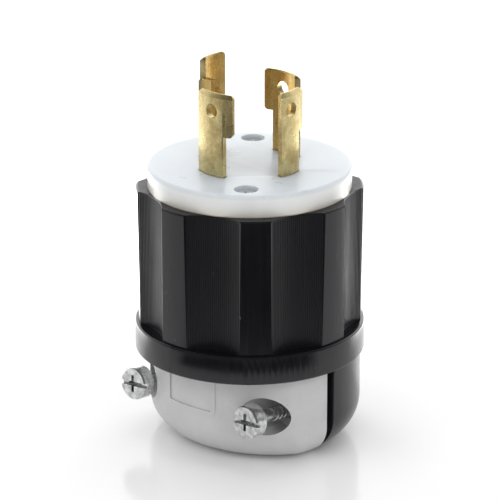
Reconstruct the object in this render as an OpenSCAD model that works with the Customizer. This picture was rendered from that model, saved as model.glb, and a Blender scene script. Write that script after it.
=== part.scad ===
// Four-wire 30 A locking power plug: curved brass blades in a nylon face, a
// fluted grip housing and a two-piece cord clamp. Millimetres.
// Z runs up the plug's axis from the clamp's base to the blade tips. The clamp
// parts on the XZ plane, and its two screws run in from the -Y side.
// Every *_dir is an angle in degrees about Z, counted from +X towards +Y.

/* [Face] */
// Radius of the nylon face disc
face_r = 26.8; // [26:0.1:28]
// Thickness of the face disc above the housing's rim
face_t = 6; // [4:0.5:8]
// Rounding of the face's upper edge
face_round = 0.9; // [0.3:0.1:1.5]
// Radius of the hub that locates the face in the housing
hub_r = 24.3; // [23.9:0.1:24.4]
// Depth of the hub below the face disc
hub_depth = 6; // [4:0.5:8]

/* [Blades] */
// Radius of the circle round the outside of the blades
blade_r = 14.3; // [13.5:0.1:15]
// Thickness of the blade strip
blade_t = 1.65; // [1.3:0.05:2]
// Height of the line and neutral blades above the face
blade_h = 22.2; // [20:0.1:24]
// Height of the ground blade above the face
ground_h = 27.1; // [24.5:0.1:28]
// Height of the underside of the locking lugs above the face
lug_h = 11; // [9:0.25:13]
// Height of the blade's round hole above the face
blade_hole_h = 17.5; // [15:0.25:18.5]
// Diameter of the blade's round hole
blade_hole_d = 3.9; // [2:0.1:5]
// Lead-in chamfer on the outer side of the tips
tip_chamfer = 1; // [0.4:0.1:1.4]
// Rounding of the blades' corners
blade_corner = 1.1; // [0.6:0.1:1.4]
// Length of the ground blade's inward hook
hook_l = 2.4; // [2:0.1:5]
// Height of the hook above the face
hook_h = 21.6; // [18:0.1:24]
// Play between a blade and its slot
slot_play = 0.15; // [0.05:0.05:0.3]

/* [Terminals] */
// Thickness of the terminal block's disc
block_t = 3.5; // [2.5:0.25:5]
// Depth of the walls between the terminals
block_wall_h = 13.5; // [11:0.5:15]
// Thickness of the walls between the terminals
block_wall_t = 1.8; // [1.2:0.1:2.5]
// Width of the blade's flat terminal pad
pad_w = 8.4; // [7:0.2:9]
// Length of the blade's flat terminal pad
pad_l = 12.5; // [10:0.5:13]
// Diameter of the terminal screw's thread
terminal_d = 4; // [3:0.1:4.5]
// Diameter of the terminal screw's head
terminal_head_d = 7; // [6:0.1:8]
// Thickness of the terminal screw's head
terminal_head_t = 2.2; // [1.6:0.1:2.4]
// Wire gap between the pad and the pressure plate
wire_gap = 3.1; // [2:0.1:3.4]
// Thickness of the pressure plate
plate_t = 1.2; // [0.8:0.1:1.6]

/* [Grip housing] */
// Height of the housing from the flange's underside to its rim
housing_h = 44.5; // [42:0.5:48]
// Radius over the plain lands at the rim
grip_rim_r = 29.85; // [29.2:0.05:30.2]
// Radius over the plain lands at the flange
grip_foot_r = 29.45; // [29:0.05:30]
// Number of concave flutes
flute_count = 8; // [6:1:10]
// Angle that one plain land covers
land_angle = 15.6; // [10:0.2:20]
// Radius from the axis to the floor of a flute
flute_floor_r = 26.75; // [26.2:0.05:27.5]
// Chamfer round the rim
rim_chamfer = 0.4; // [0.2:0.1:0.8]
// Radius of the wiring space
cavity_r = 24.5; // [24.45:0.05:24.8]
// Thickness of the end wall that carries the clamp
end_wall = 4; // [3:0.25:4.5]

/* [Flange] */
// Radius of the ring flange
flange_r = 30.4; // [30:0.1:32]
// Height of the ring flange
flange_h = 7.7; // [6:0.1:9]
// Rounding of the flange's edges
flange_round = 0.5; // [0.2:0.1:1]

/* [Cord clamp] */
// Height of the clamp halves
clamp_h = 24.3; // [23:0.1:27]
// Gap between the clamp halves and the flange
clamp_top_gap = 0.2; // [0.1:0.05:0.4]
// Radius of the rear half
rear_r = 29.4; // [28.6:0.1:30.2]
// How much smaller the front half's radius is at its ends
front_step = 1.3; // [0:0.1:1.6]
// Radius of the front half's flatter face
front_face_r = 33; // [31:0.5:36]
// Reach of the front half's face from the axis
front_reach = 23.8; // [23:0.1:25]
// Rounding of the rear half's base edge
rear_round = 11; // [8:0.1:12]
// Rounding of the front half's base edge at its ends
base_round = 8.2; // [6:0.1:9]
// Rounding of the base edge along the front face
front_round = 9.4; // [7:0.1:10]
// Distance from the XZ plane to the rear half's parting face
rear_split = 0.3; // [0.2:0.05:0.6]
// Distance from the XZ plane to the front half's parting face
front_split = 0.9; // [0.5:0.05:1.2]
// Radius of the cord channel
channel_r = 12.5; // [11:0.1:13]
// Height of the grip ribs above the channel's wall
grip_rib_h = 1.5; // [0.8:0.1:2]
// Width of a grip rib
grip_rib_w = 1.8; // [1.2:0.1:2.4]
// Height of the lowest grip rib above the base
grip_rib_z = 6; // [4:0.5:8]
// Spacing of the grip ribs
grip_rib_pitch = 5; // [4:0.25:6]
// Number of grip ribs
grip_rib_count = 3; // [2:1:4]
// Wall left round the moulding recesses
clamp_wall = 3; // [2.5:0.1:3.5]

/* [Clamp guides] */
// Radius of the neck that passes through the housing's end wall
neck_r = 14.8; // [14.2:0.1:15.2]
// Radius of the lip that hooks over the end wall
lip_r = 17.4; // [16.8:0.1:17.6]
// Thickness of the lip
lip_t = 1.8; // [1.4:0.1:2]
// Play of the front half's neck and lip in the end wall
guide_play = 0.3; // [0.2:0.05:0.4]
// Travel of the front half away from the rear half
clamp_travel = 6; // [4:0.5:6]

/* [Panel] */
// Width of the framed panel on the front half
panel_w = 16.8; // [14:0.2:18]
// Height of the frame's lower edge above the base
panel_z = 12.6; // [11:0.2:14]
// Width of the frame's bead
bead_w = 1.1; // [0.8:0.1:1.6]
// Height of the bead above the clamp's face
bead_h = 0.35; // [0.2:0.05:0.6]
// Rounding of the frame's outer corners
panel_round = 1.6; // [1.2:0.1:2.5]

/* [Clamp screws] */
// Distance from the rear half's side to each screw
screw_inset = 9.3; // [9:0.1:10.2]
// Height of the head's face above the base
screw_z = 14.6; // [14:0.1:16]
// Distance from the XZ plane to the head's face
screw_reach = 24.3; // [22:0.1:25]
// Angle by which the screws lean, heads up
screw_lean = 5; // [0:0.5:6]
// Diameter of the head
head_d = 8.8; // [7.5:0.1:9.5]
// Length of the head
head_l = 3.7; // [3:0.1:4.5]
// Diameter of the plain neck under the head
shank_d = 3.3; // [2.8:0.1:3.6]
// Length of the plain neck under the head
shank_l = 6; // [2:0.1:8]
// Diameter of the thread
thread_d = 4.1; // [3.8:0.1:4.4]
// Length of the screw under the head
screw_l = 31.5; // [28:0.5:33]
// Diameter of the head's pocket in the front half
pocket_d = 10.4; // [10.2:0.1:11.2]
// Distance from the XZ plane to the pocket's floor
pocket_floor_y = 6; // [5:0.1:12]
// Diameter of the front half's clearance hole
clear_d = 5.6; // [5.4:0.1:5.8]

/* [Driver recesses] */
// Width of the straight slots
drive_slot_w = 1.2; // [0.8:0.1:1.6]
// Depth of the straight slots
drive_slot_deep = 1.1; // [0.6:0.1:1.5]
// Width of the cross recesses' arms
cross_w = 0.9; // [0.6:0.1:1.2]
// Span of the clamp screw's cross recess
clamp_cross = 4.6; // [3:0.1:5.5]
// Depth of the clamp screw's cross recess
clamp_cross_deep = 2; // [1:0.1:2.5]
// Span of the assembly screw's cross recess
assembly_cross = 3.4; // [2.4:0.1:4]
// Depth of the assembly screw's cross recess
assembly_cross_deep = 1.3; // [0.8:0.1:1.6]

/* [Assembly screws] */
// Direction of the front assembly screw
assembly_dir = 309.6; // [306:0.2:314]
// Distance from the axis to the assembly screws
assembly_r = 21.3; // [21:0.1:21.5]
// Diameter of the assembly screw's shank
assembly_d = 3.5; // [3:0.1:3.6]
// Length of the assembly screw under its head
assembly_l = 38; // [34:0.5:38]
// Diameter of the assembly screw's head
assembly_head_d = 5.8; // [5:0.1:6]
// Thickness of the assembly screw's head
assembly_head_t = 2.2; // [1.6:0.1:2.4]
// Diameter of the recess for the head
recess_d = 6.4; // [6.2:0.1:6.8]
// Depth of the head's top below the face
recess_depth = 1.2; // [0.6:0.1:1.6]
// Radius of the boss round the screw
boss_r = 3.2; // [2.8:0.1:3.4]

/* [Dust shield] */
// Thickness of the dust shield
shield_t = 1.5; // [1:0.1:1.8]
// Radius of the shield's cord hole
shield_hole_r = 9.5; // [7:0.1:10]
// Radius of the shield
shield_r = 24.3; // [23.9:0.1:24.4]

/* [Hidden] */
$fn = 96;
eps = 0.01;
big = 100;

// Directions of each blade: neck from and to, head from and to, hole, terminal.
blade_x_dirs = [64, 103.3, 63.9, 114.1, 88, 83.7];
blade_y_dirs = [244, 283.3, 243.9, 294.1, 268, 263.7];
blade_neutral_dirs = [347.3, 375.5, 347.2, 384.8, 361, 361.4];
blade_ground_dirs = [162.6, 201.2, 162.6, 197.7, 0, 181.9];
hook_turn = 20;
hook_proud = 0.1;
drive_turn = -4;
ear_angle = 3;
ear_t = 1.5;
slot_end_play = 1.2;
terminal_dirs = [blade_x_dirs[5], blade_y_dirs[5], blade_neutral_dirs[5], blade_ground_dirs[5]];
// Each wall stands halfway between two neighbouring terminals.
around = [terminal_dirs[0], terminal_dirs[3], terminal_dirs[1], terminal_dirs[2], terminal_dirs[0] + 360];
wall_dirs = [for (i = [0 : 3]) (around[i] + around[i + 1]) / 2];

// Levels, from the base upwards.
flange_z = clamp_h + clamp_top_gap;
end_wall_z = flange_z + end_wall;
grip_z = flange_z + flange_h;
rim_z = flange_z + housing_h;
face_z = rim_z + face_t;
hub_z = rim_z - hub_depth;
block_z = hub_z - block_t;
pad_z = block_z - pad_l;
terminal_z = block_z - pad_l * 0.58;
lip_z = end_wall_z + guide_play;
shield_z = lip_z + lip_t + guide_play;
boss_z = shield_z + shield_t;
seat_z = face_z - recess_depth - assembly_head_t;

// The walls between the terminals stop short of the screw bosses.
block_wall_r = assembly_r - boss_r - 2 * slot_play;

// Radii of the terminals.
pad_r = blade_r - 0.1;
plate_r = pad_r + wire_gap;
terminal_head_r = plate_r + plate_t;
core_flat = pad_r - blade_t;
tip_l = 3.6;
tip_hole_l = tip_l + 0.4;

// A flute is an arc through the edges of two lands and its own floor.
flute_half = (360 / flute_count - land_angle) / 2;
grip_mid_r = (grip_rim_r + grip_foot_r) / 2;
flute_chord = grip_mid_r * sin(flute_half);
flute_sag = grip_mid_r * cos(flute_half) - flute_floor_r;
flute_r = (pow(flute_chord, 2) + pow(flute_sag, 2)) / (2 * flute_sag);

// The front half and the screws keep their places from the rear half's side.
front_r = rear_r - front_step;
front_face_y = front_face_r - front_reach;
screw_x = rear_r - screw_inset;

// A wedge between two directions, from the axis to beyond the blades.
module fan(from, to, z, h) {
    reach = 2 * blade_r;
    middle = (from + to) / 2;
    translate([0, 0, z])
        linear_extrude(h)
            polygon([
                [0, 0],
                reach * [cos(from), sin(from)],
                reach * [cos(middle), sin(middle)],
                reach * [cos(to), sin(to)]
            ]);
}

// Solid of revolution with a rounded lower edge.
module round_based(r, h, round) {
    rotate_extrude() {
        translate([0, round]) square([r, h - round]);
        square([r - round, round + eps]);
        intersection() {
            translate([r - round, round]) circle(round);
            translate([r - round, 0]) square(round);
        }
    }
}

// Disc with both edges rounded.
module round_edged(r, h, round) {
    rotate_extrude() {
        translate([0, round]) square([r, h - 2 * round]);
        square([r - round, h]);
        for (z = [round, h - round])
            intersection() {
                translate([r - round, z]) circle(round);
                translate([0, 0]) square([r, h]);
            }
    }
}

module at_assembly_screws() {
    for (dir = [assembly_dir, assembly_dir - 180])
        rotate([0, 0, dir]) translate([assembly_r, 0, 0]) children();
}

// ---- blades ----

// The ring that a blade's curved strip is part of. At its top it has an outer
// lead-in chamfer and a broken inner edge.
module strip_ring(top) {
    inner = tip_chamfer / 3;
    rotate_extrude()
        polygon([
            [blade_r - blade_t, block_z - 1], [blade_r, block_z - 1], [blade_r, top - tip_chamfer],
            [blade_r - tip_chamfer, top], [blade_r - blade_t + inner, top],
            [blade_r - blade_t, top - inner]
        ]);
}

// The neck through the face and its retaining ears below the hub.
module neck_fans(dirs, top) {
    fan(dirs[0], dirs[1], block_z - 2, top - block_z + 2);
    fan(dirs[0] - ear_angle, dirs[1] + ear_angle, hub_z - ear_t, ear_t);
}

// What rounding takes off a strip's corner at height z. The strip lies on one
// side of the corner's direction, +1 or -1, and below it, or above it if up is -1.
// The arc meets the strip's edges at a slight angle.
module corner_cut(dir, z, side, up = 1) {
    inset = 0.98 * blade_corner;
    rotate([0, 0, dir])
        translate([0, 0, z])
            difference() {
                translate([0, side > 0 ? -1 : -inset, up > 0 ? -inset : -1])
                    cube([big, inset + 1, inset + 1]);
                translate([0, side * inset, -up * inset])
                    rotate([0, 90, 0]) cylinder(r = blade_corner, h = big);
            }
}

// The flat pad that hangs below the terminal block.
module blade_pad(dir) {
    rotate([0, 0, dir])
        difference() {
            translate([pad_r - blade_t, -pad_w / 2, pad_z]) cube([blade_t, pad_w, pad_l]);
            translate([0, 0, terminal_z]) rotate([0, 90, 0]) cylinder(d = terminal_d, h = big);
        }
}

module line_blade(dirs) {
    color("gold") {
        blade_pad(dirs[5]);
        difference() {
            intersection() {
                strip_ring(face_z + blade_h);
                union() {
                    neck_fans(dirs, face_z + lug_h + eps);
                    fan(dirs[2], dirs[3], face_z + lug_h, blade_h);
                }
            }
            rotate([0, 0, dirs[4]])
                translate([0, 0, face_z + blade_hole_h])
                    rotate([0, 90, 0]) cylinder(d = blade_hole_d, h = big);
            corner_cut(dirs[2], face_z + blade_h, 1);
            corner_cut(dirs[3], face_z + blade_h, -1);
            corner_cut(dirs[3], face_z + lug_h, -1, -1);
        }
    }
}

module blade_x() { line_blade(blade_x_dirs); }

module blade_y() { line_blade(blade_y_dirs); }

module blade_neutral() { line_blade(blade_neutral_dirs); }

module blade_ground() {
    dirs = blade_ground_dirs;
    shoulder_z = face_z + hook_h - blade_t / 3;
    color("gold") {
        blade_pad(dirs[5]);
        difference() {
            intersection() {
                strip_ring(face_z + ground_h);
                union() {
                    neck_fans(dirs, shoulder_z + eps);
                    fan(dirs[2], dirs[3], shoulder_z, ground_h);
                }
            }
            corner_cut(dirs[2], face_z + ground_h, 1);
            corner_cut(dirs[3], face_z + ground_h, -1);
        }
        ground_hook(hub_z + ear_t, face_z + hook_h);
    }
}

// The ground blade's hook turns in from the end of the strip, which is a
// little narrower above it.
module ground_hook(z, top, play = 0) {
    rotate([0, 0, blade_ground_dirs[1]])
        translate([blade_r - blade_t, 0, z])
            rotate([0, 0, 180 - hook_turn])
                translate([-blade_t / 2, -hook_proud - play, 0])
                    cube([hook_l + blade_t / 2 + play, blade_t + 2 * play, top - z]);
}

// ---- face and terminals ----

// Slots for all four blades, drawn out by an angle at each end.
module blade_slots(z, h, wider = 0) {
    spare = slot_end_play + wider;
    intersection() {
        difference() {
            translate([0, 0, z]) cylinder(r = blade_r + slot_play, h = h);
            translate([0, 0, z - 1]) cylinder(r = blade_r - blade_t - slot_play, h = h + 2);
        }
        for (dirs = [blade_x_dirs, blade_y_dirs, blade_neutral_dirs, blade_ground_dirs])
            fan(dirs[0] - spare, dirs[1] + spare, z - 1, h + 2);
    }
}

module face_body() {
    color("white")
        difference() {
            union() {
                translate([0, 0, rim_z]) face_disc();
                translate([0, 0, hub_z]) cylinder(r = hub_r, h = hub_depth + eps);
            }
            blade_slots(hub_z - 1, hub_depth + face_t + 2);
            ground_hook(hub_z - 1, face_z + 1, slot_play);
            at_assembly_screws() {
                cylinder(d = assembly_d + 2 * slot_play, h = big);
                translate([0, 0, seat_z]) cylinder(d = recess_d, h = big);
            }
        }
}

// The disc's upper edge is rounded and its lower edge is square.
module face_disc() {
    rotate_extrude() {
        square([face_r, face_t - face_round]);
        square([face_r - face_round, face_t]);
        intersection() {
            translate([face_r - face_round, face_t - face_round]) circle(face_round);
            square([face_r, face_t]);
        }
    }
}

module terminal_block() {
    color("ivory")
        difference() {
            union() {
                translate([0, 0, block_z]) cylinder(r = hub_r, h = block_t);
                translate([0, 0, block_z - block_wall_h]) {
                    block_core();
                    for (dir = wall_dirs)
                        rotate([0, 0, dir])
                            translate([0, -block_wall_t / 2, 0])
                                cube([block_wall_r, block_wall_t, block_wall_h + eps]);
                }
            }
            blade_slots(block_z - 1, block_t + 2);
            blade_slots(hub_z - ear_t, ear_t + 1, ear_angle);
            for (dir = terminal_dirs)
                rotate([0, 0, dir])
                    translate([core_flat - tip_hole_l, 0, terminal_z])
                        rotate([0, 90, 0]) cylinder(d = terminal_d + 4 * slot_play, h = big);
            at_assembly_screws() cylinder(d = assembly_d + 2 * slot_play, h = big);
        }
}

// The core has one flat behind each terminal pad.
module block_core() {
    intersection() {
        cylinder(r = core_flat * 1.2, h = block_wall_h + eps);
        for_each_flat(core_flat);
    }
}

// The space inside all four flats.
module for_each_flat(reach) {
    intersection() {
        rotate([0, 0, terminal_dirs[0]]) translate([reach - big, -big, 0]) cube([big, 2 * big, big]);
        rotate([0, 0, terminal_dirs[1]]) translate([reach - big, -big, 0]) cube([big, 2 * big, big]);
        rotate([0, 0, terminal_dirs[2]]) translate([reach - big, -big, 0]) cube([big, 2 * big, big]);
        rotate([0, 0, terminal_dirs[3]]) translate([reach - big, -big, 0]) cube([big, 2 * big, big]);
    }
}

module terminal_screw(dir, shade) {
    color(shade)
        rotate([0, 0, dir])
            translate([0, 0, terminal_z])
                rotate([0, 90, 0])
                    difference() {
                        union() {
                            translate([0, 0, core_flat - tip_l])
                                cylinder(d = terminal_d, h = terminal_head_r - core_flat + tip_l + eps);
                            translate([0, 0, terminal_head_r])
                                cylinder(d = terminal_head_d, h = terminal_head_t);
                        }
                        drive_slot(terminal_head_r + terminal_head_t, terminal_head_d);
                    }
}

// A straight driver slot cut from a head whose face is at height z.
module drive_slot(z, d) {
    translate([-d, -drive_slot_w / 2, z - drive_slot_deep])
        cube([2 * d, drive_slot_w, drive_slot_deep + 1]);
}

module wire_plate(dir) {
    color("silver")
        rotate([0, 0, dir])
            difference() {
                translate([plate_r, -pad_w / 2, terminal_z - pad_w / 2]) cube([plate_t, pad_w, pad_w]);
                translate([0, 0, terminal_z])
                    rotate([0, 90, 0]) cylinder(d = terminal_d + 2 * slot_play, h = big);
            }
}

module terminal_screw_x() { terminal_screw(terminal_dirs[0], "gold"); }

module terminal_screw_y() { terminal_screw(terminal_dirs[1], "gold"); }

module terminal_screw_neutral() { terminal_screw(terminal_dirs[2], "silver"); }

module terminal_screw_ground() { terminal_screw(terminal_dirs[3], "green"); }

module wire_plate_x() { wire_plate(terminal_dirs[0]); }

module wire_plate_y() { wire_plate(terminal_dirs[1]); }

module wire_plate_neutral() { wire_plate(terminal_dirs[2]); }

module wire_plate_ground() { wire_plate(terminal_dirs[3]); }

module assembly_screw(dir) {
    color("silver")
        rotate([0, 0, dir])
            translate([assembly_r, 0, seat_z])
                difference() {
                    union() {
                        translate([0, 0, -assembly_l]) cylinder(d = assembly_d, h = assembly_l + eps);
                        cylinder(d = assembly_head_d, h = assembly_head_t);
                    }
                    cross_recess(assembly_head_t, assembly_cross, assembly_cross_deep);
                }
}

// A cross-shaped driver recess in a head whose face is at height z.
module cross_recess(z, span, deep) {
    for (turn = [0, 90])
        rotate([0, 0, turn])
            translate([-span / 2, -cross_w / 2, z - deep]) cube([span, cross_w, deep + 1]);
}

module assembly_screw_front() { assembly_screw(assembly_dir); }

module assembly_screw_rear() { assembly_screw(assembly_dir - 180); }

// ---- grip housing ----

module grip_housing() {
    color("#202020")
        difference() {
            union() {
                fluted_barrel();
                translate([0, 0, flange_z]) round_edged(flange_r, flange_h, flange_round);
            }
            difference() {
                translate([0, 0, end_wall_z]) cylinder(r = cavity_r, h = big);
                screw_bosses();
                shield_ledges();
            }
            clamp_opening();
            at_assembly_screws()
                translate([0, 0, seat_z - assembly_l - 1]) cylinder(d = assembly_d, h = big);
        }
}

module fluted_barrel() {
    barrel_h = rim_z - grip_z;
    translate([0, 0, grip_z - eps])
        difference() {
            union() {
                cylinder(r1 = grip_foot_r, r2 = grip_rim_r, h = barrel_h - rim_chamfer);
                translate([0, 0, barrel_h - rim_chamfer])
                    cylinder(r1 = grip_rim_r, r2 = grip_rim_r - rim_chamfer, h = rim_chamfer + eps);
            }
            for (i = [0 : flute_count - 1])
                rotate([0, 0, (i + 0.5) * 360 / flute_count])
                    translate([flute_floor_r + flute_r, 0, -1]) cylinder(r = flute_r, h = barrel_h + 2);
        }
}

// Bosses hang from the cavity's wall, clear of the clamp's sliding lip.
module screw_bosses() {
    at_assembly_screws()
        translate([0, 0, boss_z]) {
            cylinder(r = boss_r, h = block_z - boss_z);
            translate([0, -boss_r * 0.8, 0])
                cube([cavity_r - assembly_r + 1, boss_r * 1.6, block_z - boss_z]);
        }
}

// Two ledges at the ends of X carry the dust shield over the lips.
module shield_ledges() {
    ledge_inner = lip_r + 1.6;
    ledge_w = lip_r * 0.7;
    for (side = [0, 180])
        rotate([0, 0, side])
            translate([ledge_inner, -ledge_w / 2, end_wall_z - 1])
                cube([cavity_r - ledge_inner + 1, ledge_w, shield_z - end_wall_z + 1]);
}

// The necks pass through the end wall. The opening is drawn out to the front,
// so that the front half can slide away.
module clamp_opening() {
    r = neck_r + guide_play;
    translate([0, 0, flange_z - 1])
        linear_extrude(end_wall + 2) {
            circle(r);
            translate([0, -clamp_travel]) circle(r);
            translate([-r, -clamp_travel]) square([2 * r, clamp_travel]);
        }
}

// ---- cord clamp ----

// One half's neck, lip, cord channel and grip ribs, before it is cut at the
// parting face. The lip sits seat above the end wall.
module clamp_inner(seat) {
    translate([0, 0, clamp_h - 1]) cylinder(r = neck_r, h = end_wall_z - clamp_h + 1 + eps);
    translate([0, 0, end_wall_z + seat]) cylinder(r = lip_r, h = lip_t);
    translate([0, 0, end_wall_z]) cylinder(r = neck_r, h = seat + eps);
}

module cord_channel(seat) {
    difference() {
        translate([0, 0, -1]) cylinder(r = channel_r, h = end_wall_z + seat + lip_t + 2);
        for (i = [0 : grip_rib_count - 1])
            translate([0, 0, grip_rib_z + i * grip_rib_pitch])
                difference() {
                    cylinder(r = channel_r + 1, h = grip_rib_w);
                    translate([0, 0, -1]) cylinder(r = channel_r - grip_rib_h, h = grip_rib_w + 2);
                }
    }
}

// The frame of one clamp screw: origin at the head's face, +Z along the screw.
module along_clamp_screw(side) {
    translate([side * screw_x, -screw_reach, screw_z])
        rotate([-90 - screw_lean, 0, 0]) children();
}

// How far along a leaning screw its axis crosses the plane at this y.
function screw_run(y) = (y + screw_reach) / cos(screw_lean);

module front_half_form() {
    intersection() {
        round_based(front_r, clamp_h, base_round);
        translate([0, front_face_y, 0]) round_based(front_face_r, clamp_h, front_round);
    }
}

module rounded_rect(w, h, r) {
    translate([r, 0]) square([w - 2 * r, h]);
    translate([0, r]) square([w, h - 2 * r]);
    for (x = [r, w - r])
        for (y = [r, h - r])
            translate([x, y]) circle(r);
}

// The bead frames a plain panel and follows the clamp's face.
module panel_bead() {
    panel_h = clamp_h - panel_z - bead_w / 2;
    intersection() {
        translate([0, front_face_y, panel_z - 1]) cylinder(r = front_face_r + bead_h, h = big);
        translate([-panel_w / 2, 5 - front_reach, panel_z])
            rotate([90, 0, 0])
                linear_extrude(big)
                    difference() {
                        rounded_rect(panel_w, panel_h, panel_round);
                        translate([bead_w, bead_w])
                            rounded_rect(
                                panel_w - 2 * bead_w, panel_h - 2 * bead_w, panel_round - bead_w);
                    }
    }
}

module front_clamp_half() {
    color("#b4b4b2")
        difference() {
            union() {
                front_half_form();
                panel_bead();
                clamp_inner(guide_play);
            }
            translate([-big, -front_split, -1]) cube([2 * big, big, big]);
            cord_channel(guide_play);
            front_recess();
            for (side = [-1, 1])
                along_clamp_screw(side) {
                    translate([0, 0, -big]) cylinder(d = pocket_d, h = big + screw_run(-pocket_floor_y));
                    cylinder(d = clear_d, h = big);
                }
        }
}

// Moulding recess between the channel and the face, open at the top.
module front_recess() {
    half_w = 11.5;
    translate([0, 0, base_round])
        linear_extrude(big)
            intersection() {
                translate([0, front_face_y]) circle(front_face_r - clamp_wall);
                translate([-half_w, -front_reach]) square([2 * half_w, front_reach]);
                difference() {
                    square(2 * big, center = true);
                    circle(lip_r + 0.4);
                }
            }
}

module rear_clamp_half() {
    color("#202020")
        difference() {
            union() {
                round_based(rear_r, clamp_h, rear_round);
                clamp_inner(0);
            }
            translate([-big, rear_split - big, -1]) cube([2 * big, big, big]);
            cord_channel(0);
            rear_recess();
            for (side = [-1, 1])
                along_clamp_screw(side) cylinder(d = thread_d, h = head_l + screw_l + 1);
        }
}

module rear_recess() {
    half_w = 14;
    translate([0, 0, rear_round])
        linear_extrude(big)
            intersection() {
                circle(rear_r - clamp_wall);
                translate([-half_w, 0]) square([2 * half_w, rear_r]);
                difference() {
                    square(2 * big, center = true);
                    circle(lip_r + 0.4);
                }
            }
}

module clamp_screw(side) {
    color("silver")
        along_clamp_screw(side)
            difference() {
                union() {
                    clamp_screw_head();
                    cylinder(d = shank_d, h = head_l + shank_l + eps);
                    translate([0, 0, head_l + shank_l]) cylinder(d = thread_d, h = screw_l - shank_l);
                }
                rotate([0, 0, drive_turn])
                    mirror([0, 0, 1]) {
                        drive_slot(0, head_d);
                        cross_recess(0, clamp_cross, clamp_cross_deep);
                    }
            }
}

// Cheese head with a small chamfer round its face.
module clamp_screw_head() {
    chamfer = 0.35;
    cylinder(d1 = head_d - 2 * chamfer, d2 = head_d, h = chamfer);
    translate([0, 0, chamfer]) cylinder(d = head_d, h = head_l - chamfer);
}

module clamp_screw_left() { clamp_screw(-1); }

module clamp_screw_right() { clamp_screw(1); }

module dust_shield() {
    color("#383838")
        translate([0, 0, shield_z])
            difference() {
                cylinder(r = shield_r, h = shield_t);
                translate([0, 0, -1]) cylinder(r = shield_hole_r, h = shield_t + 2);
            }
}

face_body();
blade_x();
blade_y();
blade_neutral();
blade_ground();
terminal_block();
terminal_screw_x();
terminal_screw_y();
terminal_screw_neutral();
terminal_screw_ground();
wire_plate_x();
wire_plate_y();
wire_plate_neutral();
wire_plate_ground();
assembly_screw_front();
assembly_screw_rear();
grip_housing();
front_clamp_half();
rear_clamp_half();
clamp_screw_left();
clamp_screw_right();
dust_shield();
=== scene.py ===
import math

import bmesh
import bpy
from mathutils import Matrix, Vector


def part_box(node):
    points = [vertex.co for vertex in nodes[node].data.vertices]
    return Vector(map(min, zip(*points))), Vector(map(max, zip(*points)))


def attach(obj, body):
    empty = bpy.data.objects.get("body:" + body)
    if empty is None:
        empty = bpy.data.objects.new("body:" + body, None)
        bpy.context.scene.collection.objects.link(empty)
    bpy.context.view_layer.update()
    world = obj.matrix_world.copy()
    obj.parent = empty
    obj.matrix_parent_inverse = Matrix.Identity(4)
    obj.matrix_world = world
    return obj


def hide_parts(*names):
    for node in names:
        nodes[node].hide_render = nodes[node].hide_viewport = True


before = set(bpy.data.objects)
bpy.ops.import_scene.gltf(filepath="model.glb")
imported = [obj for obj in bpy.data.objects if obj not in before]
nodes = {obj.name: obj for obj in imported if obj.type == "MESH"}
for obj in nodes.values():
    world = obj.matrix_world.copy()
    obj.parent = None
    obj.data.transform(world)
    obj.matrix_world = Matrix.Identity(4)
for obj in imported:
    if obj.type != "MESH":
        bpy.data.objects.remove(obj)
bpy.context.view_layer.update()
MM = 0.001

# ---- Camera ----
# A long lens, a little above the plug's face and looking down on it.

camera_turn = math.radians(42)
camera = bpy.data.objects.new("camera", bpy.data.cameras.new("camera"))
camera.data.sensor_width = 36
camera.data.lens = 247.7
camera.data.clip_end = 20
camera.location = (0.5713, -0.6344, 0.3598)
camera.rotation_euler = (math.radians(70.1), 0, camera_turn)
bpy.context.collection.objects.link(camera)
bpy.context.scene.camera = camera

# ---- Studio ----
# A white table under soft lamps. The camera sees the table near white, and
# the plug's shadow and faint mirror image stay on it.

scene = bpy.context.scene
scene.view_settings.view_transform = "Standard"


def new_material(name):
    """An empty node material, and its node tree."""
    material = bpy.data.materials.new(name)
    material.use_nodes = True
    material.node_tree.nodes.clear()
    return material, material.node_tree


def add(tree, kind, inputs=None, **settings):
    """A node, with its settings and its inputs: values, or sockets to link."""
    node = tree.nodes.new(kind)
    for key, value in settings.items():
        setattr(node, key, value)
    for key, value in (inputs or {}).items():
        if isinstance(value, bpy.types.NodeSocket):
            tree.links.new(value, node.inputs[key])
        else:
            node.inputs[key].default_value = value
    return node


def flat_sheet(name, corners):
    """A flat sheet through these corners, as part of the stage."""
    mesh = bpy.data.meshes.new(name)
    mesh.from_pydata(corners, [], [tuple(range(len(corners)))])
    sheet = bpy.data.objects.new(name, mesh)
    bpy.context.collection.objects.link(sheet)
    return sheet


def sums(tree, operation, first, second, clamp=False):
    """One arithmetic step."""
    return add(tree, "ShaderNodeMath", {0: first, 1: second},
               operation=operation, use_clamp=clamp).outputs[0]


def ramp(tree, value, low, high, to_low=0.0, to_high=1.0, smooth=False):
    """Map a value's range onto another one, held at its ends."""
    node = add(tree, "ShaderNodeMapRange", {
        "Value": value, "From Min": low, "From Max": high,
        "To Min": to_low, "To Max": to_high}, clamp=True)
    if smooth:
        node.interpolation_type = "SMOOTHSTEP"
    return node.outputs["Result"]


table = flat_sheet("table", [(-3, -3, 0), (3, -3, 0), (3, 3, 0), (-3, 3, 0)])
table_white, tree = new_material("table_white")
rays = add(tree, "ShaderNodeLightPath")
surface = add(tree, "ShaderNodeBsdfPrincipled",
              {"Base Color": (0.88, 0.88, 0.88, 1), "Roughness": 0.14, "IOR": 1.33})
lift = add(tree, "ShaderNodeEmission", {"Strength": 0.03})
both = add(tree, "ShaderNodeAddShader", {0: surface.outputs[0], 1: lift.outputs[0]})
seen = add(tree, "ShaderNodeMixShader",
           {0: rays.outputs["Is Camera Ray"], 1: surface.outputs[0], 2: both.outputs[0]})
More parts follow.
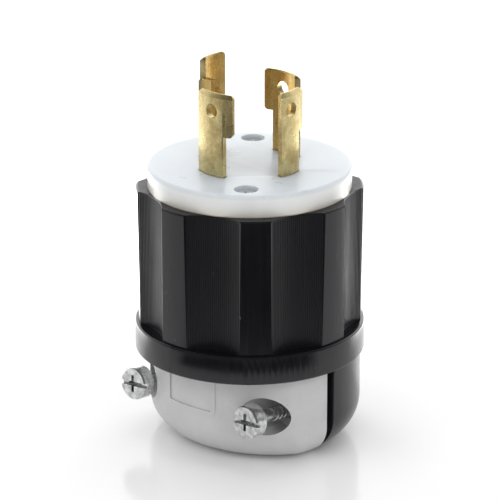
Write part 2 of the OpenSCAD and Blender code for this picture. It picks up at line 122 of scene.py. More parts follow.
# Painted reflection: in glossy rays only, a ring of the table round the plug glows,
# bright behind the plug and near black in front of it, and the glossy housing
# mirrors that ring.
to_camera = (math.sin(camera_turn), -math.cos(camera_turn), 0)
place = add(tree, "ShaderNodeTexCoord").outputs["Object"]
away = add(tree, "ShaderNodeVectorMath", {0: place}, operation="LENGTH").outputs["Value"]
outward = add(tree, "ShaderNodeVectorMath", {0: place}, operation="NORMALIZE")
facing = add(tree, "ShaderNodeVectorMath", {0: outward.outputs[0], 1: to_camera},
             operation="DOT_PRODUCT").outputs["Value"]
behind = ramp(tree, facing, -0.50, -0.25, 1.0, 0.0)
reflection_glow_strength = sums(tree, "MULTIPLY", ramp(tree, facing, 0.42, 0.54, 0.9, 0.02),
            ramp(tree, behind, 0.0, 1.0, 1.0, ramp(tree, away, 0.095, 0.12, 1.7, 9.0)))
painted_reflection_glow = add(tree, "ShaderNodeEmission", {"Strength": reflection_glow_strength})
inner_edge = ramp(tree, behind, 0.0, 1.0, 0.085, 0.045)
ring = sums(tree, "MULTIPLY",
            ramp(tree, sums(tree, "SUBTRACT", away, inner_edge), 0.0, 0.015),
            ramp(tree, sums(tree, "SUBTRACT", away, ramp(tree, facing, 0.0, 0.5, 0.20, 0.32)),
                 0.0, 0.05, 1.0, 0.0, smooth=True))
pick = add(tree, "ShaderNodeMixShader",
           {0: sums(tree, "MULTIPLY", ring, rays.outputs["Is Glossy Ray"]),
            1: seen.outputs[0], 2: painted_reflection_glow.outputs[0]})
add(tree, "ShaderNodeOutputMaterial", {"Surface": pick.outputs[0]})
table.data.materials.append(table_white)

# The room is white. In reflections it is dark in front, where the room is
# unlit, and brightest behind the plug.
world = bpy.data.worlds.new("studio")
scene.world = world
world.use_nodes = True
tree = world.node_tree
tree.nodes.clear()
rays = add(tree, "ShaderNodeLightPath")
seen = add(tree, "ShaderNodeMath", {0: rays.outputs["Is Camera Ray"],
           1: rays.outputs["Is Transmission Ray"]}, operation="MAXIMUM")
looking = add(tree, "ShaderNodeTexCoord")
facing = add(tree, "ShaderNodeVectorMath", {0: looking.outputs["Generated"], 1: to_camera},
             operation="DOT_PRODUCT").outputs["Value"]
paper = (1, 1, 1, 1)
ambient = add(tree, "ShaderNodeBackground", {"Color": paper, "Strength": 0.74})
mirrored = add(tree, "ShaderNodeBackground", {
    "Color": paper, "Strength": ramp(tree, facing, -0.9, 0.0, 1.9, 0.12)})
white = add(tree, "ShaderNodeBackground", {"Color": paper, "Strength": 1.0})
pick = add(tree, "ShaderNodeMixShader",
           {0: rays.outputs["Is Glossy Ray"], 1: ambient.outputs[0], 2: mirrored.outputs[0]})
pick = add(tree, "ShaderNodeMixShader",
           {0: seen.outputs[0], 1: pick.outputs[0], 2: white.outputs[0]})
add(tree, "ShaderNodeOutputWorld", {"Surface": pick.outputs[0]})


def soft_lamp(name, place, aim, size, power):
    """A softbox at one place, turned towards another."""
    lamp = bpy.data.lights.new(name, "AREA")
    lamp.shape = "RECTANGLE"
    lamp.size, lamp.size_y = size
    lamp.energy = power
    box = bpy.data.objects.new(name, lamp)
    box.location = place
    box.rotation_euler = (Vector(aim) - Vector(place)).to_track_quat("-Z", "Y").to_euler()
    box.visible_glossy = False
    bpy.context.collection.objects.link(box)


mid_height = (0, 0, 0.05)
soft_lamp("overhead_box", (-0.05, 0.08, 1.0), (0, 0, 0), (0.6, 0.6), 1.2)
soft_lamp("left_box", (-0.40, -0.85, 0.80), mid_height, (0.6, 0.6), 1.6)
soft_lamp("right_box", (0.90, -0.05, 0.80), mid_height, (0.6, 0.6), 1.6)
soft_lamp("far_left_box", (-0.92, 0.18, 0.40), mid_height, (0.5, 0.5), 2.4)
soft_lamp("far_right_box", (-0.08, 0.94, 0.40), mid_height, (0.5, 0.5), 2.4)

# ---- Nylon face ----
# A thick satin disc of moulded white nylon, with slots for the blades. The
# housing carries it, and its side is a little warmer than its top. Its top is
# painted darker and bluer than its side, as shade.


def new_group(name, takes, gives):
    """An empty shader group with these sockets, and its two end nodes."""
    group = bpy.data.node_groups.new(name, "ShaderNodeTree")
    for label, kind, value in takes:
        group.interface.new_socket(name=label, in_out="INPUT",
                                   socket_type=kind).default_value = value
    for label, kind in gives:
        group.interface.new_socket(name=label, in_out="OUTPUT", socket_type=kind)
    return group, group.nodes.new("NodeGroupInput"), group.nodes.new("NodeGroupOutput")


def in_millimetres(tree):
    """The surface point in the object's own frame, in millimetres."""
    place = add(tree, "ShaderNodeTexCoord")
    return add(tree, "ShaderNodeVectorMath", {0: place.outputs["Object"], "Scale": 1000.0},
               operation="SCALE").outputs["Vector"]


def blend_colour(tree, mask, first, second):
    """The first colour where the mask is 0, the second where it is 1."""
    colours = [(*colour, 1) if isinstance(colour, tuple) else colour
               for colour in (first, second)]
    node = add(tree, "ShaderNodeMix", data_type="RGBA")
    for socket, value in ((node.inputs[0], mask), (node.inputs[6], colours[0]),
                          (node.inputs[7], colours[1])):
        if isinstance(value, bpy.types.NodeSocket):
            tree.links.new(value, socket)
        else:
            socket.default_value = value
    return node.outputs[2]


# Moulded grain: a fine height for the bump and a broad, uneven tone.
moulded_grain, ends_in, ends_out = new_group(
    "moulded_grain",
    [("Grain Size", "NodeSocketFloat", 0.25), ("Tone Size", "NodeSocketFloat", 8.0)],
    [("Height", "NodeSocketFloat"), ("Tone", "NodeSocketFloat")])
point = in_millimetres(moulded_grain)
fine = add(moulded_grain, "ShaderNodeTexNoise", {
    "Vector": point, "Detail": 3.0, "Roughness": 0.6,
    "Scale": sums(moulded_grain, "DIVIDE", 1.0, ends_in.outputs["Grain Size"])})
broad = add(moulded_grain, "ShaderNodeTexNoise", {
    "Vector": point, "Detail": 4.0, "Roughness": 0.55,
    "Scale": sums(moulded_grain, "DIVIDE", 1.0, ends_in.outputs["Tone Size"])})
moulded_grain.links.new(fine.outputs[0], ends_out.inputs["Height"])
moulded_grain.links.new(broad.outputs[0], ends_out.inputs["Tone"])

# Dust: a few specks of uneven size, scattered over the surface.
dust_specks, ends_in, ends_out = new_group(
    "dust_specks",
    [("Spacing", "NodeSocketFloat", 3.0), ("Speck Size", "NodeSocketFloat", 0.15),
     ("Share", "NodeSocketFloat", 0.4)],
    [("Mask", "NodeSocketFloat")])
point = in_millimetres(dust_specks)
wobble = add(dust_specks, "ShaderNodeTexNoise", {"Vector": point, "Scale": 3.0, "Detail": 2.0})
shift = add(dust_specks, "ShaderNodeVectorMath", {0: wobble.outputs["Color"], "Scale": 0.35},
            operation="SCALE")
shifted = add(dust_specks, "ShaderNodeVectorMath", {0: point, 1: shift.outputs[0]},
              operation="ADD")
cells = add(dust_specks, "ShaderNodeTexVoronoi", {
    "Vector": shifted.outputs[0],
    "Scale": sums(dust_specks, "DIVIDE", 1.0, ends_in.outputs["Spacing"])})
chance = add(dust_specks, "ShaderNodeSeparateXYZ", {0: cells.outputs["Color"]})
chosen = sums(dust_specks, "LESS_THAN", chance.outputs[0], ends_in.outputs["Share"])
reach = sums(dust_specks, "MULTIPLY", chance.outputs[1], ends_in.outputs["Speck Size"])
away = sums(dust_specks, "MULTIPLY", cells.outputs["Distance"], ends_in.outputs["Spacing"])
inside = sums(dust_specks, "LESS_THAN", away, reach)
dust_specks.links.new(sums(dust_specks, "MULTIPLY", chosen, inside), ends_out.inputs["Mask"])


def finished(name, node, body, edge, fillet=None):
    """The node's solid as a piece with merged faces and rounded edges.

    edge is the width of the rounding in mm; fillet picks the edges that are
    rounded by twice that and more: a test on the two ends, and a width.
    """
    mesh = bpy.data.meshes.new(name)
    bm = bmesh.new()
    bm.from_mesh(nodes[node].data)
    bmesh.ops.remove_doubles(bm, verts=bm.verts, dist=1e-7)
    bmesh.ops.dissolve_limit(bm, angle_limit=math.radians(0.4), verts=bm.verts, edges=bm.edges)
    widest = max(edge, fillet[1] if fillet else 0)
    weights = bm.edges.layers.float.new("bevel_weight_edge")
    for seam in bm.edges:
        if len(seam.link_faces) == 2 and seam.calc_face_angle() > math.radians(28):
            large = fillet and fillet[0](seam.verts[0].co / MM, seam.verts[1].co / MM)
            seam[weights] = (fillet[1] if large else edge) / widest
            seam.smooth = False
    for face in bm.faces:
        face.smooth = any(seam.smooth and seam.calc_face_angle(0) > 1e-3 for seam in face.edges)
    bm.to_mesh(mesh)
    bm.free()
    piece = bpy.data.objects.new(name, mesh)
    bpy.context.collection.objects.link(piece)
    rounding = piece.modifiers.new("rounding", "BEVEL")
    rounding.limit_method = "WEIGHT"
    rounding.width = widest * MM
    rounding.segments = 3
    rounding.harden_normals = True
    rounding.miter_outer = "MITER_ARC"
    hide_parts(node)
    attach(piece, body)
    return piece


white_nylon, tree = new_material("white_nylon")
grain = add(tree, "ShaderNodeGroup", {"Grain Size": 0.35, "Tone Size": 9.0},
            node_tree=moulded_grain)
dust = add(tree, "ShaderNodeGroup", {"Spacing": 4.0, "Speck Size": 0.32, "Share": 0.30},
           node_tree=dust_specks)
point = add(tree, "ShaderNodeSeparateXYZ", {0: in_millimetres(tree)})
rim_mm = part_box("grip_housing")[1][2] / MM
face_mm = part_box("face_body")[1][2] / MM
joint_line = ramp(tree, point.outputs["Z"], rim_mm + 0.10, rim_mm + 0.32, 1.0, 0.0, smooth=True)
side_white = blend_colour(tree, ramp(tree, grain.outputs["Tone"], 0.35, 0.65),
                          (0.80, 0.81, 0.80), (0.84, 0.85, 0.84))
# Painted shade: the top gets a darker, bluer white than the side.
shaded_top_white = blend_colour(tree, ramp(tree, grain.outputs["Tone"], 0.35, 0.65),
                         (0.60, 0.65, 0.69), (0.64, 0.68, 0.72))
colour = blend_colour(tree, ramp(tree, point.outputs["Z"], face_mm - 1.4, face_mm - 0.2),
                      side_white, shaded_top_white)
# The side grows warmer towards its foot.
warm = ramp(tree, point.outputs["Z"], rim_mm + 0.2, rim_mm + 3.2, 0.55, 0.0, smooth=True)
colour = blend_colour(tree, warm, colour, (0.72, 0.66, 0.54))
# Painted shade: a faint blue band darkens the side where the long screws stand inside the nylon,
# as if they showed through it.
level = add(tree, "ShaderNodeCombineXYZ", {"X": point.outputs["X"], "Y": point.outputs["Y"]})
behind = None
for place in ("front", "rear"):
    low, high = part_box("assembly_screw_" + place)
    middle = ((low[0] + high[0]) / 2 / MM, (low[1] + high[1]) / 2 / MM, 0)
    gap = add(tree, "ShaderNodeVectorMath", {0: level.outputs[0], 1: middle},
              operation="DISTANCE")
    screw_shade_near = ramp(tree, gap.outputs["Value"], 3.6, 5.6, 1.0, 0.0, smooth=True)
    behind = screw_shade_near if behind is None else sums(tree, "MAXIMUM", behind, screw_shade_near)
behind = sums(tree, "MULTIPLY", behind,
              ramp(tree, point.outputs["Z"], face_mm - 1.2, face_mm - 0.6, 0.55, 0.0))
colour = blend_colour(tree, behind, colour, (0.45, 0.52, 0.60))
colour = blend_colour(tree, sums(tree, "MULTIPLY", dust.outputs["Mask"], 0.35),
                      colour, (0.40, 0.40, 0.38))
colour = blend_colour(tree, sums(tree, "MULTIPLY", joint_line, 0.8), colour, (0.50, 0.43, 0.30))
bump = add(tree, "ShaderNodeBump", {"Height": grain.outputs["Height"],
                                    "Distance": 0.00002, "Strength": 0.5})
surface = add(tree, "ShaderNodeBsdfPrincipled", {
    "Base Color": colour, "Normal": bump.outputs[0], "IOR": 1.5,
    "Roughness": ramp(tree, grain.outputs["Tone"], 0.3, 0.7, 0.26, 0.38),
    "Subsurface Weight": 0.6, "Subsurface Radius": (1.0, 1.0, 1.0), "Subsurface Scale": 0.003})
add(tree, "ShaderNodeOutputMaterial", {"Surface": surface.outputs[0]})

face = finished("nylon_face", "face_body", "plug", 0.15)
face.data.materials.append(white_nylon)

# ---- Blades ----
# Four strips of stamped brass, curved to one circle, which stand in the
# face's slots. Handling has left them dull and unevenly tarnished.

brass, tree = new_material("brass")
point = in_millimetres(tree)
cloud = add(tree, "ShaderNodeTexNoise", {"Vector": point, "Scale": 0.32, "Detail": 5.0,
                                         "Roughness": 0.62})
flow = add(tree, "ShaderNodeVectorMath", {0: point, 1: (2.2, 2.2, 0.35)}, operation="MULTIPLY")
lines = add(tree, "ShaderNodeTexNoise", {"Vector": flow.outputs[0], "Scale": 1.0, "Detail": 4.0})
pits = add(tree, "ShaderNodeTexNoise", {"Vector": point, "Scale": 2.6, "Detail": 3.0})
tarnish = ramp(tree, cloud.outputs[0], 0.42, 0.66)
spots = ramp(tree, pits.outputs[0], 0.60, 0.72)
colour = blend_colour(tree, tarnish, (0.68, 0.57, 0.28), (0.50, 0.38, 0.15))
axis = add(tree, "ShaderNodeVectorMath", {0: point, 1: (1, 1, 0)}, operation="MULTIPLY")
round_mm = add(tree, "ShaderNodeVectorMath", {0: axis.outputs[0]}, operation="LENGTH")
# A strip's hollow side lies 12.65 mm from the plug's axis. It is painted browner, as the shade
# and brass reflections inside the ring of blades.
hollow_mm = 12.65
hollow_side_painted_shade = ramp(tree, round_mm.outputs["Value"], hollow_mm + 0.05, hollow_mm + 0.55, 0.8, 0.0)
colour = blend_colour(tree, hollow_side_painted_shade, colour, (0.62, 0.40, 0.11))
colour = blend_colour(tree, sums(tree, "MULTIPLY", spots, 0.5), colour, (0.22, 0.15, 0.05))
colour = blend_colour(tree, ramp(tree, lines.outputs[0], 0.45, 0.75, 0.0, 0.35),
                      colour, (0.80, 0.70, 0.46))
bump = add(tree, "ShaderNodeBump", {
    "Height": sums(tree, "ADD", lines.outputs[0], sums(tree, "MULTIPLY", pits.outputs[0], 0.5)),
    "Distance": 0.00006, "Strength": 0.6})
surface = add(tree, "ShaderNodeBsdfPrincipled", {
    "Base Color": colour, "Metallic": 1.0, "Normal": bump.outputs[0],
    "Roughness": ramp(tree, cloud.outputs[0], 0.35, 0.7, 0.20, 0.40)})
add(tree, "ShaderNodeOutputMaterial", {"Surface": surface.outputs[0]})

for node in ("blade_x", "blade_y", "blade_neutral", "blade_ground"):
    blade = finished("brass_" + node, node, "plug", 0.22)
    blade.data.materials.append(brass)

# ---- Terminals ----
# Behind the face, a cream moulding keeps the terminals apart. Each blade has
# a screw and a pressure plate: brass, zinc-plated, and green for the ground.

cream_moulding, tree = new_material("cream_moulding")
grain = add(tree, "ShaderNodeGroup", {"Grain Size": 0.4, "Tone Size": 6.0},
            node_tree=moulded_grain)
bump = add(tree, "ShaderNodeBump", {"Height": grain.outputs["Height"], "Distance": 0.00004})
surface = add(tree, "ShaderNodeBsdfPrincipled", {
    "Base Color": blend_colour(tree, grain.outputs["Tone"], (0.62, 0.57, 0.42),
                               (0.72, 0.68, 0.54)),
    "Roughness": ramp(tree, grain.outputs["Tone"], 0.3, 0.7, 0.45, 0.6),
    "Normal": bump.outputs[0]})
add(tree, "ShaderNodeOutputMaterial", {"Surface": surface.outputs[0]})

# Turned steel: rings from the cutting tool and small marks in the plating.
turned_marks, ends_in, ends_out = new_group(
    "turned_marks", [("Mark Size", "NodeSocketFloat", 0.5)],
    [("Height", "NodeSocketFloat"), ("Wear", "NodeSocketFloat")])
point = in_millimetres(turned_marks)
marks = add(turned_marks, "ShaderNodeTexNoise", {
    "Vector": point, "Detail": 5.0, "Roughness": 0.7,
    "Scale": sums(turned_marks, "DIVIDE", 1.0, ends_in.outputs["Mark Size"])})
patches = add(turned_marks, "ShaderNodeTexNoise", {"Vector": point, "Scale": 0.7, "Detail": 3.0})
turned_marks.links.new(marks.outputs[0], ends_out.inputs["Height"])
turned_marks.links.new(patches.outputs[0], ends_out.inputs["Wear"])


def plated(name, bright, dull, smooth):
    """A plated steel finish between its bright and its dull colour."""
    material, tree = new_material(name)
    marks = add(tree, "ShaderNodeGroup", {"Mark Size": 0.35}, node_tree=turned_marks)
    bump = add(tree, "ShaderNodeBump", {"Height": marks.outputs["Height"],
                                        "Distance": 0.00005, "Strength": 0.7})
    wear = ramp(tree, marks.outputs["Wear"], 0.40, 0.66)
    fleck = ramp(tree, marks.outputs["Height"], 0.58, 0.70, 0.0, 0.35)
    colour = blend_colour(tree, wear, bright, dull)
    colour = blend_colour(tree, fleck, colour, tuple(0.45 * c for c in dull))
    surface = add(tree, "ShaderNodeBsdfPrincipled", {
        "Base Color": colour, "Metallic": 1.0, "Normal": bump.outputs[0],
        "Roughness": ramp(tree, marks.outputs["Wear"], 0.35, 0.7, smooth, smooth + 0.16)})
    add(tree, "ShaderNodeOutputMaterial", {"Surface": surface.outputs[0]})
    return material


zinc_steel = plated("zinc_steel", (0.80, 0.80, 0.80), (0.50, 0.51, 0.52), 0.20)
green_steel = plated("green_steel", (0.10, 0.36, 0.16), (0.05, 0.22, 0.09), 0.32)

block = finished("terminal_moulding", "terminal_block", "plug", 0.15)
block.data.materials.append(cream_moulding)
for side, finish in (("x", brass), ("y", brass), ("neutral", zinc_steel),
                     ("ground", green_steel)):
    screw = finished("wire_screw_" + side, "terminal_screw_" + side, "plug", 0.15)
    screw.data.materials.append(finish)
    plate = finished("pressure_plate_" + side, "wire_plate_" + side, "plug", 0.12)
    plate.data.materials.append(brass if side in "xy" else zinc_steel)

# ---- Grip housing ----
# A barrel of black nylon with concave flutes between plain lands, and a ring
# flange at its foot. Scratches and dust show on its gloss.

# A scuff: a thin, broken line between two points in millimetres.
scuff_line, ends_in, ends_out = new_group(
    "scuff_line",
    [("From", "NodeSocketVector", (0, 0, 0)), ("To", "NodeSocketVector", (0, 0, 1)),
     ("Width", "NodeSocketFloat", 0.1)],
    [("Mask", "NodeSocketFloat")])
point = in_millimetres(scuff_line)
along = add(scuff_line, "ShaderNodeVectorMath",
            {0: ends_in.outputs["To"], 1: ends_in.outputs["From"]}, operation="SUBTRACT")
out = add(scuff_line, "ShaderNodeVectorMath", {0: point, 1: ends_in.outputs["From"]},
          operation="SUBTRACT")
reached = add(scuff_line, "ShaderNodeVectorMath", {0: out.outputs[0], 1: along.outputs[0]},
              operation="DOT_PRODUCT")
length = add(scuff_line, "ShaderNodeVectorMath", {0: along.outputs[0], 1: along.outputs[0]},
             operation="DOT_PRODUCT")
share = sums(scuff_line, "DIVIDE", reached.outputs["Value"], length.outputs["Value"], clamp=True)
nearest = add(scuff_line, "ShaderNodeVectorMath", {0: along.outputs[0], "Scale": share},
              operation="SCALE")
gap = add(scuff_line, "ShaderNodeVectorMath", {0: out.outputs[0], 1: nearest.outputs[0]},
          operation="DISTANCE")
broken = add(scuff_line, "ShaderNodeTexNoise", {"Vector": point, "Scale": 1.6, "Detail": 4.0})
strength = ramp(scuff_line, broken.outputs[0], 0.38, 0.60)
line = ramp(scuff_line, sums(scuff_line, "DIVIDE", gap.outputs["Value"],
                             ends_in.outputs["Width"]), 0.3, 1.0, 1.0, 0.0)
scuff_line.links.new(sums(scuff_line, "MULTIPLY", line, strength), ends_out.inputs["Mask"])

scratches = (
    ((21.24, -20.76, 47.8), (21.18, -20.72, 37.6), 0.07),
    ((21.18, -20.72, 37.6), (21.05, -20.80, 34.0), 0.11),
    ((21.05, -20.80, 34.0), (20.60, -21.22, 33.2), 0.12),
    ((20.60, -21.22, 33.2), (20.05, -21.76, 34.1), 0.12),
    ((6.2, -28.85, 43.9), (6.6, -28.80, 43.2), 0.14),
    ((24.4, -17.0, 68.2), (24.7, -16.7, 68.3), 0.15),
    ((17.8, -23.6, 43.2), (18.0, -23.5, 42.5), 0.12),
)
black_nylon, tree = new_material("black_nylon")
grain = add(tree, "ShaderNodeGroup", {"Grain Size": 0.5, "Tone Size": 7.0},
            node_tree=moulded_grain)
dust = add(tree, "ShaderNodeGroup", {"Spacing": 2.4, "Speck Size": 0.24, "Share": 0.25},
           node_tree=dust_specks)
stretched = add(tree, "ShaderNodeVectorMath", {0: in_millimetres(tree), 1: (0.8, 0.8, 0.05)},
                operation="MULTIPLY")
streaks = add(tree, "ShaderNodeTexNoise", {"Vector": stretched.outputs[0], "Scale": 1.0,
                                           "Detail": 3.0})
height = add(tree, "ShaderNodeSeparateXYZ", {0: in_millimetres(tree)}).outputs["Z"]
flange_top = 32.2
level = add(tree, "ShaderNodeVectorMath", {0: in_millimetres(tree), 1: (1, 1, 0)},
            operation="MULTIPLY")
out_mm = add(tree, "ShaderNodeVectorMath", {0: level.outputs[0]}, operation="LENGTH")
land_mm = 29.45
glossy = sums(tree, "MAXIMUM", ramp(tree, out_mm.outputs["Value"], land_mm - 0.35, land_mm),
              ramp(tree, height, flange_top, flange_top + 0.1, 1.0, 0.0))
on_grip = ramp(tree, height, flange_top, flange_top + 1.0, 0.0, 1.5)
scuffed = None
for start, end, width in scratches:
    scuff = add(tree, "ShaderNodeGroup", {"From": start, "To": end, "Width": width},
                node_tree=scuff_line).outputs["Mask"]
    scuffed = scuff if scuffed is None else sums(tree, "MAXIMUM", scuffed, scuff)
colour = blend_colour(tree, grain.outputs["Tone"], (0.004, 0.004, 0.006),
                      (0.008, 0.008, 0.011))
colour = blend_colour(tree, sums(tree, "MULTIPLY", dust.outputs["Mask"], 0.20),
                      colour, (0.30, 0.30, 0.30))
colour = blend_colour(tree, sums(tree, "MULTIPLY", scuffed, 0.45), colour, (0.30, 0.30, 0.30))
bump = add(tree, "ShaderNodeBump", {
    "Height": sums(tree, "ADD", grain.outputs["Height"],
                   sums(tree, "MULTIPLY", streaks.outputs[0], on_grip)),
    "Distance": 0.00001, "Strength": 0.4})
surface = add(tree, "ShaderNodeBsdfPrincipled", {
    "Base Color": colour, "Normal": bump.outputs[0], "IOR": 1.5,
    "Roughness": sums(tree, "SUBTRACT", ramp(tree, streaks.outputs[0], 0.3, 0.7, 0.38, 0.48),
                      sums(tree, "MULTIPLY", glossy, 0.20))})
add(tree, "ShaderNodeOutputMaterial", {"Surface": surface.outputs[0]})

housing = finished("fluted_housing", "grip_housing", "plug", 0.2)
housing.data.materials.append(black_nylon)

# ---- Grip ribs ----
# Fine upright ribs line every flute for grip. They are part of the black
# moulding, half round and about a tenth of a millimetre proud.


def rule_socket(tree, label, kind, value):
    """A named input of a geometry rule."""
    socket = tree.interface.new_socket(name=label, in_out="INPUT", socket_type=kind)
    if value is not None:
        socket.default_value = value
    return socket


rib_rule = bpy.data.node_groups.new("rib_rule", "GeometryNodeTree")
rib_rule.interface.new_socket(name="Ribs", in_out="OUTPUT", socket_type="NodeSocketGeometry")
rib_facts = {
    "Flutes": ("NodeSocketInt", 8),
    "Ribs in a Flute": ("NodeSocketInt", 26),
    "Rib Spacing": ("NodeSocketFloat", 0.577 * MM),
    "Flute Radius": ("NodeSocketFloat", 15.64 * MM),
    "Flute Floor": ("NodeSocketFloat", 26.75 * MM),
    "Rib Radius": ("NodeSocketFloat", 0.225 * MM),
    "Rib Sunk": ("NodeSocketFloat", 0.135 * MM),
    "Foot": ("NodeSocketFloat", 32.6 * MM),
    "Top": ("NodeSocketFloat", 68.4 * MM),
    "Finish": ("NodeSocketMaterial", None),
}
rib_inputs = {label: rule_socket(rib_rule, label, kind, value)
              for label, (kind, value) in rib_facts.items()}
given = rib_rule.nodes.new("NodeGroupInput").outputs
bottom = add(rib_rule, "ShaderNodeCombineXYZ", {"Z": given["Foot"]})
upper = add(rib_rule, "ShaderNodeCombineXYZ", {"Z": given["Top"]})
spine = add(rib_rule, "GeometryNodeCurvePrimitiveLine",
            {"Start": bottom.outputs[0], "End": upper.outputs[0]})
section = add(rib_rule, "GeometryNodeCurvePrimitiveCircle",
              {"Resolution": 10, "Radius": given["Rib Radius"]})
rib = add(rib_rule, "GeometryNodeCurveToMesh", {
    "Curve": spine.outputs[0], "Profile Curve": section.outputs[0], "Fill Caps": True})
order = add(rib_rule, "GeometryNodeInputIndex").outputs[0]
middle = sums(rib_rule, "DIVIDE", sums(rib_rule, "SUBTRACT", given["Ribs in a Flute"], 1.0), 2.0)
turn = sums(rib_rule, "DIVIDE",
            sums(rib_rule, "MULTIPLY", sums(rib_rule, "SUBTRACT", order, middle),
                 given["Rib Spacing"]), given["Flute Radius"])
reach = sums(rib_rule, "ADD", given["Flute Radius"], given["Rib Sunk"])
centre = sums(rib_rule, "ADD", given["Flute Floor"], given["Flute Radius"])
rib_x = sums(rib_rule, "SUBTRACT", centre,
             sums(rib_rule, "MULTIPLY", reach,
                  add(rib_rule, "ShaderNodeMath", {0: turn}, operation="COSINE").outputs[0]))
rib_y = sums(rib_rule, "MULTIPLY", reach,
             add(rib_rule, "ShaderNodeMath", {0: turn}, operation="SINE").outputs[0])
rib_place = add(rib_rule, "ShaderNodeCombineXYZ", {"X": rib_x, "Y": rib_y})
row = add(rib_rule, "GeometryNodePoints", {"Count": given["Ribs in a Flute"],
                                           "Position": rib_place.outputs[0]})
one_flute = add(rib_rule, "GeometryNodeInstanceOnPoints",
                {"Points": row.outputs[0], "Instance": rib.outputs[0]})
step = sums(rib_rule, "DIVIDE", 2 * math.pi, given["Flutes"])
flute_turn = add(rib_rule, "ShaderNodeCombineXYZ",
                 {"Z": sums(rib_rule, "MULTIPLY", sums(rib_rule, "ADD", order, 0.5), step)})
round_axis = add(rib_rule, "GeometryNodePoints", {"Count": given["Flutes"]})
all_flutes = add(rib_rule, "GeometryNodeInstanceOnPoints", {
    "Points": round_axis.outputs[0], "Instance": one_flute.outputs[0],
    "Rotation": flute_turn.outputs[0]})
whole = add(rib_rule, "GeometryNodeRealizeInstances", {"Geometry": all_flutes.outputs[0]})
dressed = add(rib_rule, "GeometryNodeSetMaterial",
              {"Geometry": whole.outputs[0], "Material": given["Finish"]})
rib_rule.links.new(dressed.outputs[0], rib_rule.nodes.new("NodeGroupOutput").inputs["Ribs"])


def made_by_rule(name, rule, sockets, values):
    """A plain mesh made by a geometry rule from these values."""
    maker = bpy.data.objects.new(name + "_maker", bpy.data.meshes.new(name + "_maker"))
    bpy.context.collection.objects.link(maker)
    modifier = maker.modifiers.new(rule.name, "NODES")
    modifier.node_group = rule
    for label, value in values.items():
        modifier[sockets[label].identifier] = value
    graph = bpy.context.evaluated_depsgraph_get()
    mesh = bpy.data.meshes.new_from_object(maker.evaluated_get(graph))
    mesh.name = name
    bpy.data.objects.remove(maker)
    return mesh


rib_mesh = made_by_rule("grip_ribs", rib_rule, rib_inputs, {
    **{label: value for label, (kind, value) in rib_facts.items() if value is not None},
    "Finish": black_nylon})
for polygon in rib_mesh.polygons:
    polygon.use_smooth = len(polygon.vertices) == 4
ribs = bpy.data.objects.new("grip_ribs", rib_mesh)
bpy.context.collection.objects.link(ribs)
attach(ribs, "plug")

# ---- Dust shield ----
# A disc of soft black rubber with a hole for the cord, inside the housing.

soft_rubber, tree = new_material("soft_rubber")
grain = add(tree, "ShaderNodeGroup", {"Grain Size": 0.3, "Tone Size": 5.0},
            node_tree=moulded_grain)
bump = add(tree, "ShaderNodeBump", {"Height": grain.outputs["Height"], "Distance": 0.00006})
surface = add(tree, "ShaderNodeBsdfPrincipled", {
    "Base Color": blend_colour(tree, grain.outputs["Tone"], (0.020, 0.020, 0.021),
                               (0.040, 0.040, 0.042)),
    "Roughness": ramp(tree, grain.outputs["Tone"], 0.3, 0.7, 0.65, 0.8),
    "Normal": bump.outputs[0]})
add(tree, "ShaderNodeOutputMaterial", {"Surface": surface.outputs[0]})
shield = finished("rubber_shield", "dust_shield", "plug", 0.3)
shield.data.materials.append(soft_rubber)

# ---- Assembly screws ----
# Two long steel screws hold the face to the housing. Only their crossed heads
# show, sunk in the face's recesses.

bright_steel = plated("bright_steel", (0.97, 0.98, 0.99), (0.92, 0.95, 0.97), 0.08)
for place in ("front", "rear"):
    screw = finished("long_screw_" + place, "assembly_screw_" + place, "plug", 0.10)
    screw.data.materials.append(bright_steel)

# ---- Rear clamp half ----
# The black half of the cord clamp, of the housing's own nylon. Its rounded
# base is the foot that the plug stands on.

rear_half = finished("black_clamp_half", "rear_clamp_half", "plug", 0.25)
rear_half.data.materials.append(black_nylon)

# ---- Front clamp half ----
# The loose half, moulded in light grey nylon: a bare framed panel between two
# screw pockets, whose mouths are well rounded.

# The clamp screws' heads in mm from the axis and the table, and their pockets.
screw_side = 20.1
screw_high = 14.6
screw_out = 24.3
screw_lean = math.radians(5)
pocket_radius = 5.2
pocket_depth = 16.5


def screw_matrix(side):
    """One clamp screw's place in mm: origin at its head, Z along the screw."""
    return (Matrix.Translation((side * screw_side, -screw_out, screw_high))
            @ Matrix.Rotation(-math.pi / 2 - screw_lean, 4, "X"))


def at_pocket_mouth(first, second):
    """Whether an edge runs round the mouth of a screw pocket."""
    for side in (-1, 1):
        to_screw = screw_matrix(side).inverted()
        ends = [to_screw @ end for end in (first, second)]
        if all(abs(math.hypot(end.x, end.y) - pocket_radius) < 0.08 and end.z < pocket_depth
               for end in ends):
            return True
    return False


grey_nylon, tree = new_material("grey_nylon")
grain = add(tree, "ShaderNodeGroup", {"Grain Size": 0.4, "Tone Size": 10.0},
            node_tree=moulded_grain)
dust = add(tree, "ShaderNodeGroup", {"Spacing": 3.0, "Speck Size": 0.22, "Share": 0.35},
           node_tree=dust_specks)
colour = blend_colour(tree, ramp(tree, grain.outputs["Tone"], 0.35, 0.65),
                      (0.60, 0.60, 0.60), (0.66, 0.66, 0.66))
colour = blend_colour(tree, sums(tree, "MULTIPLY", dust.outputs["Mask"], 0.35),
                      colour, (0.30, 0.30, 0.29))
bump = add(tree, "ShaderNodeBump", {"Height": grain.outputs["Height"],
                                    "Distance": 0.00003, "Strength": 0.6})
surface = add(tree, "ShaderNodeBsdfPrincipled", {
    "Base Color": colour, "Normal": bump.outputs[0], "IOR": 1.5,
    "Roughness": ramp(tree, grain.outputs["Tone"], 0.3, 0.7, 0.34, 0.46)})
add(tree, "ShaderNodeOutputMaterial", {"Surface": surface.outputs[0]})

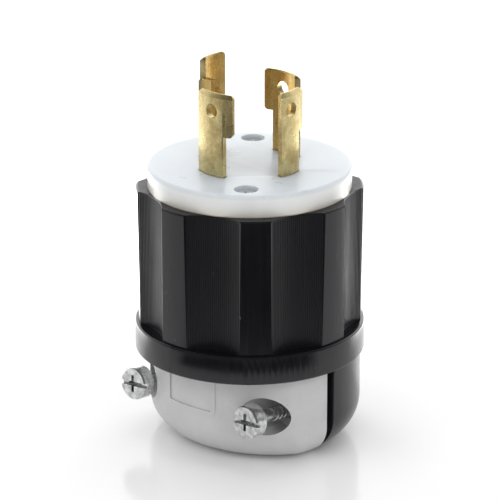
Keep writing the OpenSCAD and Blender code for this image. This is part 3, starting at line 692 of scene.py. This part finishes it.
front_half = finished("grey_clamp_half", "front_clamp_half", "loose_clamp", 0.22,
                      (at_pocket_mouth, 0.7))
front_half.data.materials.append(grey_nylon)

# ---- Clamp screws ----
# Two coarse steel screws, left backed out of the clamp. Their cheese heads
# take a slotted or a crossed driver, and a plain neck runs up to the thread.

thread_rule = bpy.data.node_groups.new("thread_rule", "GeometryNodeTree")
thread_rule.interface.new_socket(name="Thread", in_out="OUTPUT",
                                 socket_type="NodeSocketGeometry")
thread_facts = {
    "Pitch": ("NodeSocketFloat", 1.7),
    "Length": ("NodeSocketFloat", 25.3),
    "Root Radius": ("NodeSocketFloat", 1.5),
    "Ridge": ("NodeSocketFloat", 0.55),
    "Finish": ("NodeSocketMaterial", None),
}
thread_inputs = {label: rule_socket(thread_rule, label, kind, value)
                 for label, (kind, value) in thread_facts.items()}
given = thread_rule.nodes.new("NodeGroupInput").outputs
turns = sums(thread_rule, "DIVIDE", given["Length"], given["Pitch"])
path = add(thread_rule, "GeometryNodeCurveSpiral", {
    "Resolution": 28, "Rotations": turns, "Start Radius": given["Root Radius"],
    "End Radius": given["Root Radius"], "Height": given["Length"]})
upright = add(thread_rule, "GeometryNodeSetCurveNormal", {"Curve": path.outputs[0]},
              mode="Z_UP")
section = add(thread_rule, "GeometryNodeCurvePrimitiveCircle",
              {"Resolution": 4, "Radius": given["Ridge"]})
ridge = add(thread_rule, "GeometryNodeCurveToMesh", {
    "Curve": upright.outputs[0], "Profile Curve": section.outputs[0], "Fill Caps": True})
whole = add(thread_rule, "GeometryNodeRealizeInstances", {"Geometry": ridge.outputs[0]})
dressed = add(thread_rule, "GeometryNodeSetMaterial",
              {"Geometry": whole.outputs[0], "Material": given["Finish"]})
thread_rule.links.new(dressed.outputs[0],
                      thread_rule.nodes.new("NodeGroupOutput").inputs["Thread"])
thread_mesh = made_by_rule("screw_thread", thread_rule, thread_inputs, {
    **{label: value for label, (kind, value) in thread_facts.items() if value is not None},
    "Finish": zinc_steel})

# Past the neck, the solid is drawn in to the thread's core, in mm, and the
# ridge runs round it.
thread_start = 9.7
core_radius = 1.6
for side, name in ((-1, "left"), (1, "right")):
    screw = finished("clamp_steel_" + name, "clamp_screw_" + name, "plug", 0.10)
    place = screw_matrix(side)
    to_screw = place.inverted()
    for vertex in screw.data.vertices:
        local = to_screw @ (vertex.co / MM)
        if local.z > thread_start - 0.1 and math.hypot(local.x, local.y) > core_radius + 0.2:
            thinner = core_radius / math.hypot(local.x, local.y)
            local = Vector((local.x * thinner, local.y * thinner, local.z))
            vertex.co = (place @ local) * MM
    screw.data.materials.append(zinc_steel)

    helix = thread_mesh.copy()
    helix.name = "clamp_thread_" + name
    helix.transform(place @ Matrix.Translation((0, 0, thread_start)))
    helix.transform(Matrix.Scale(MM, 4))
    thread = bpy.data.objects.new(helix.name, helix)
    bpy.context.collection.objects.link(thread)
    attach(thread, "plug")
bpy.data.meshes.remove(thread_mesh)
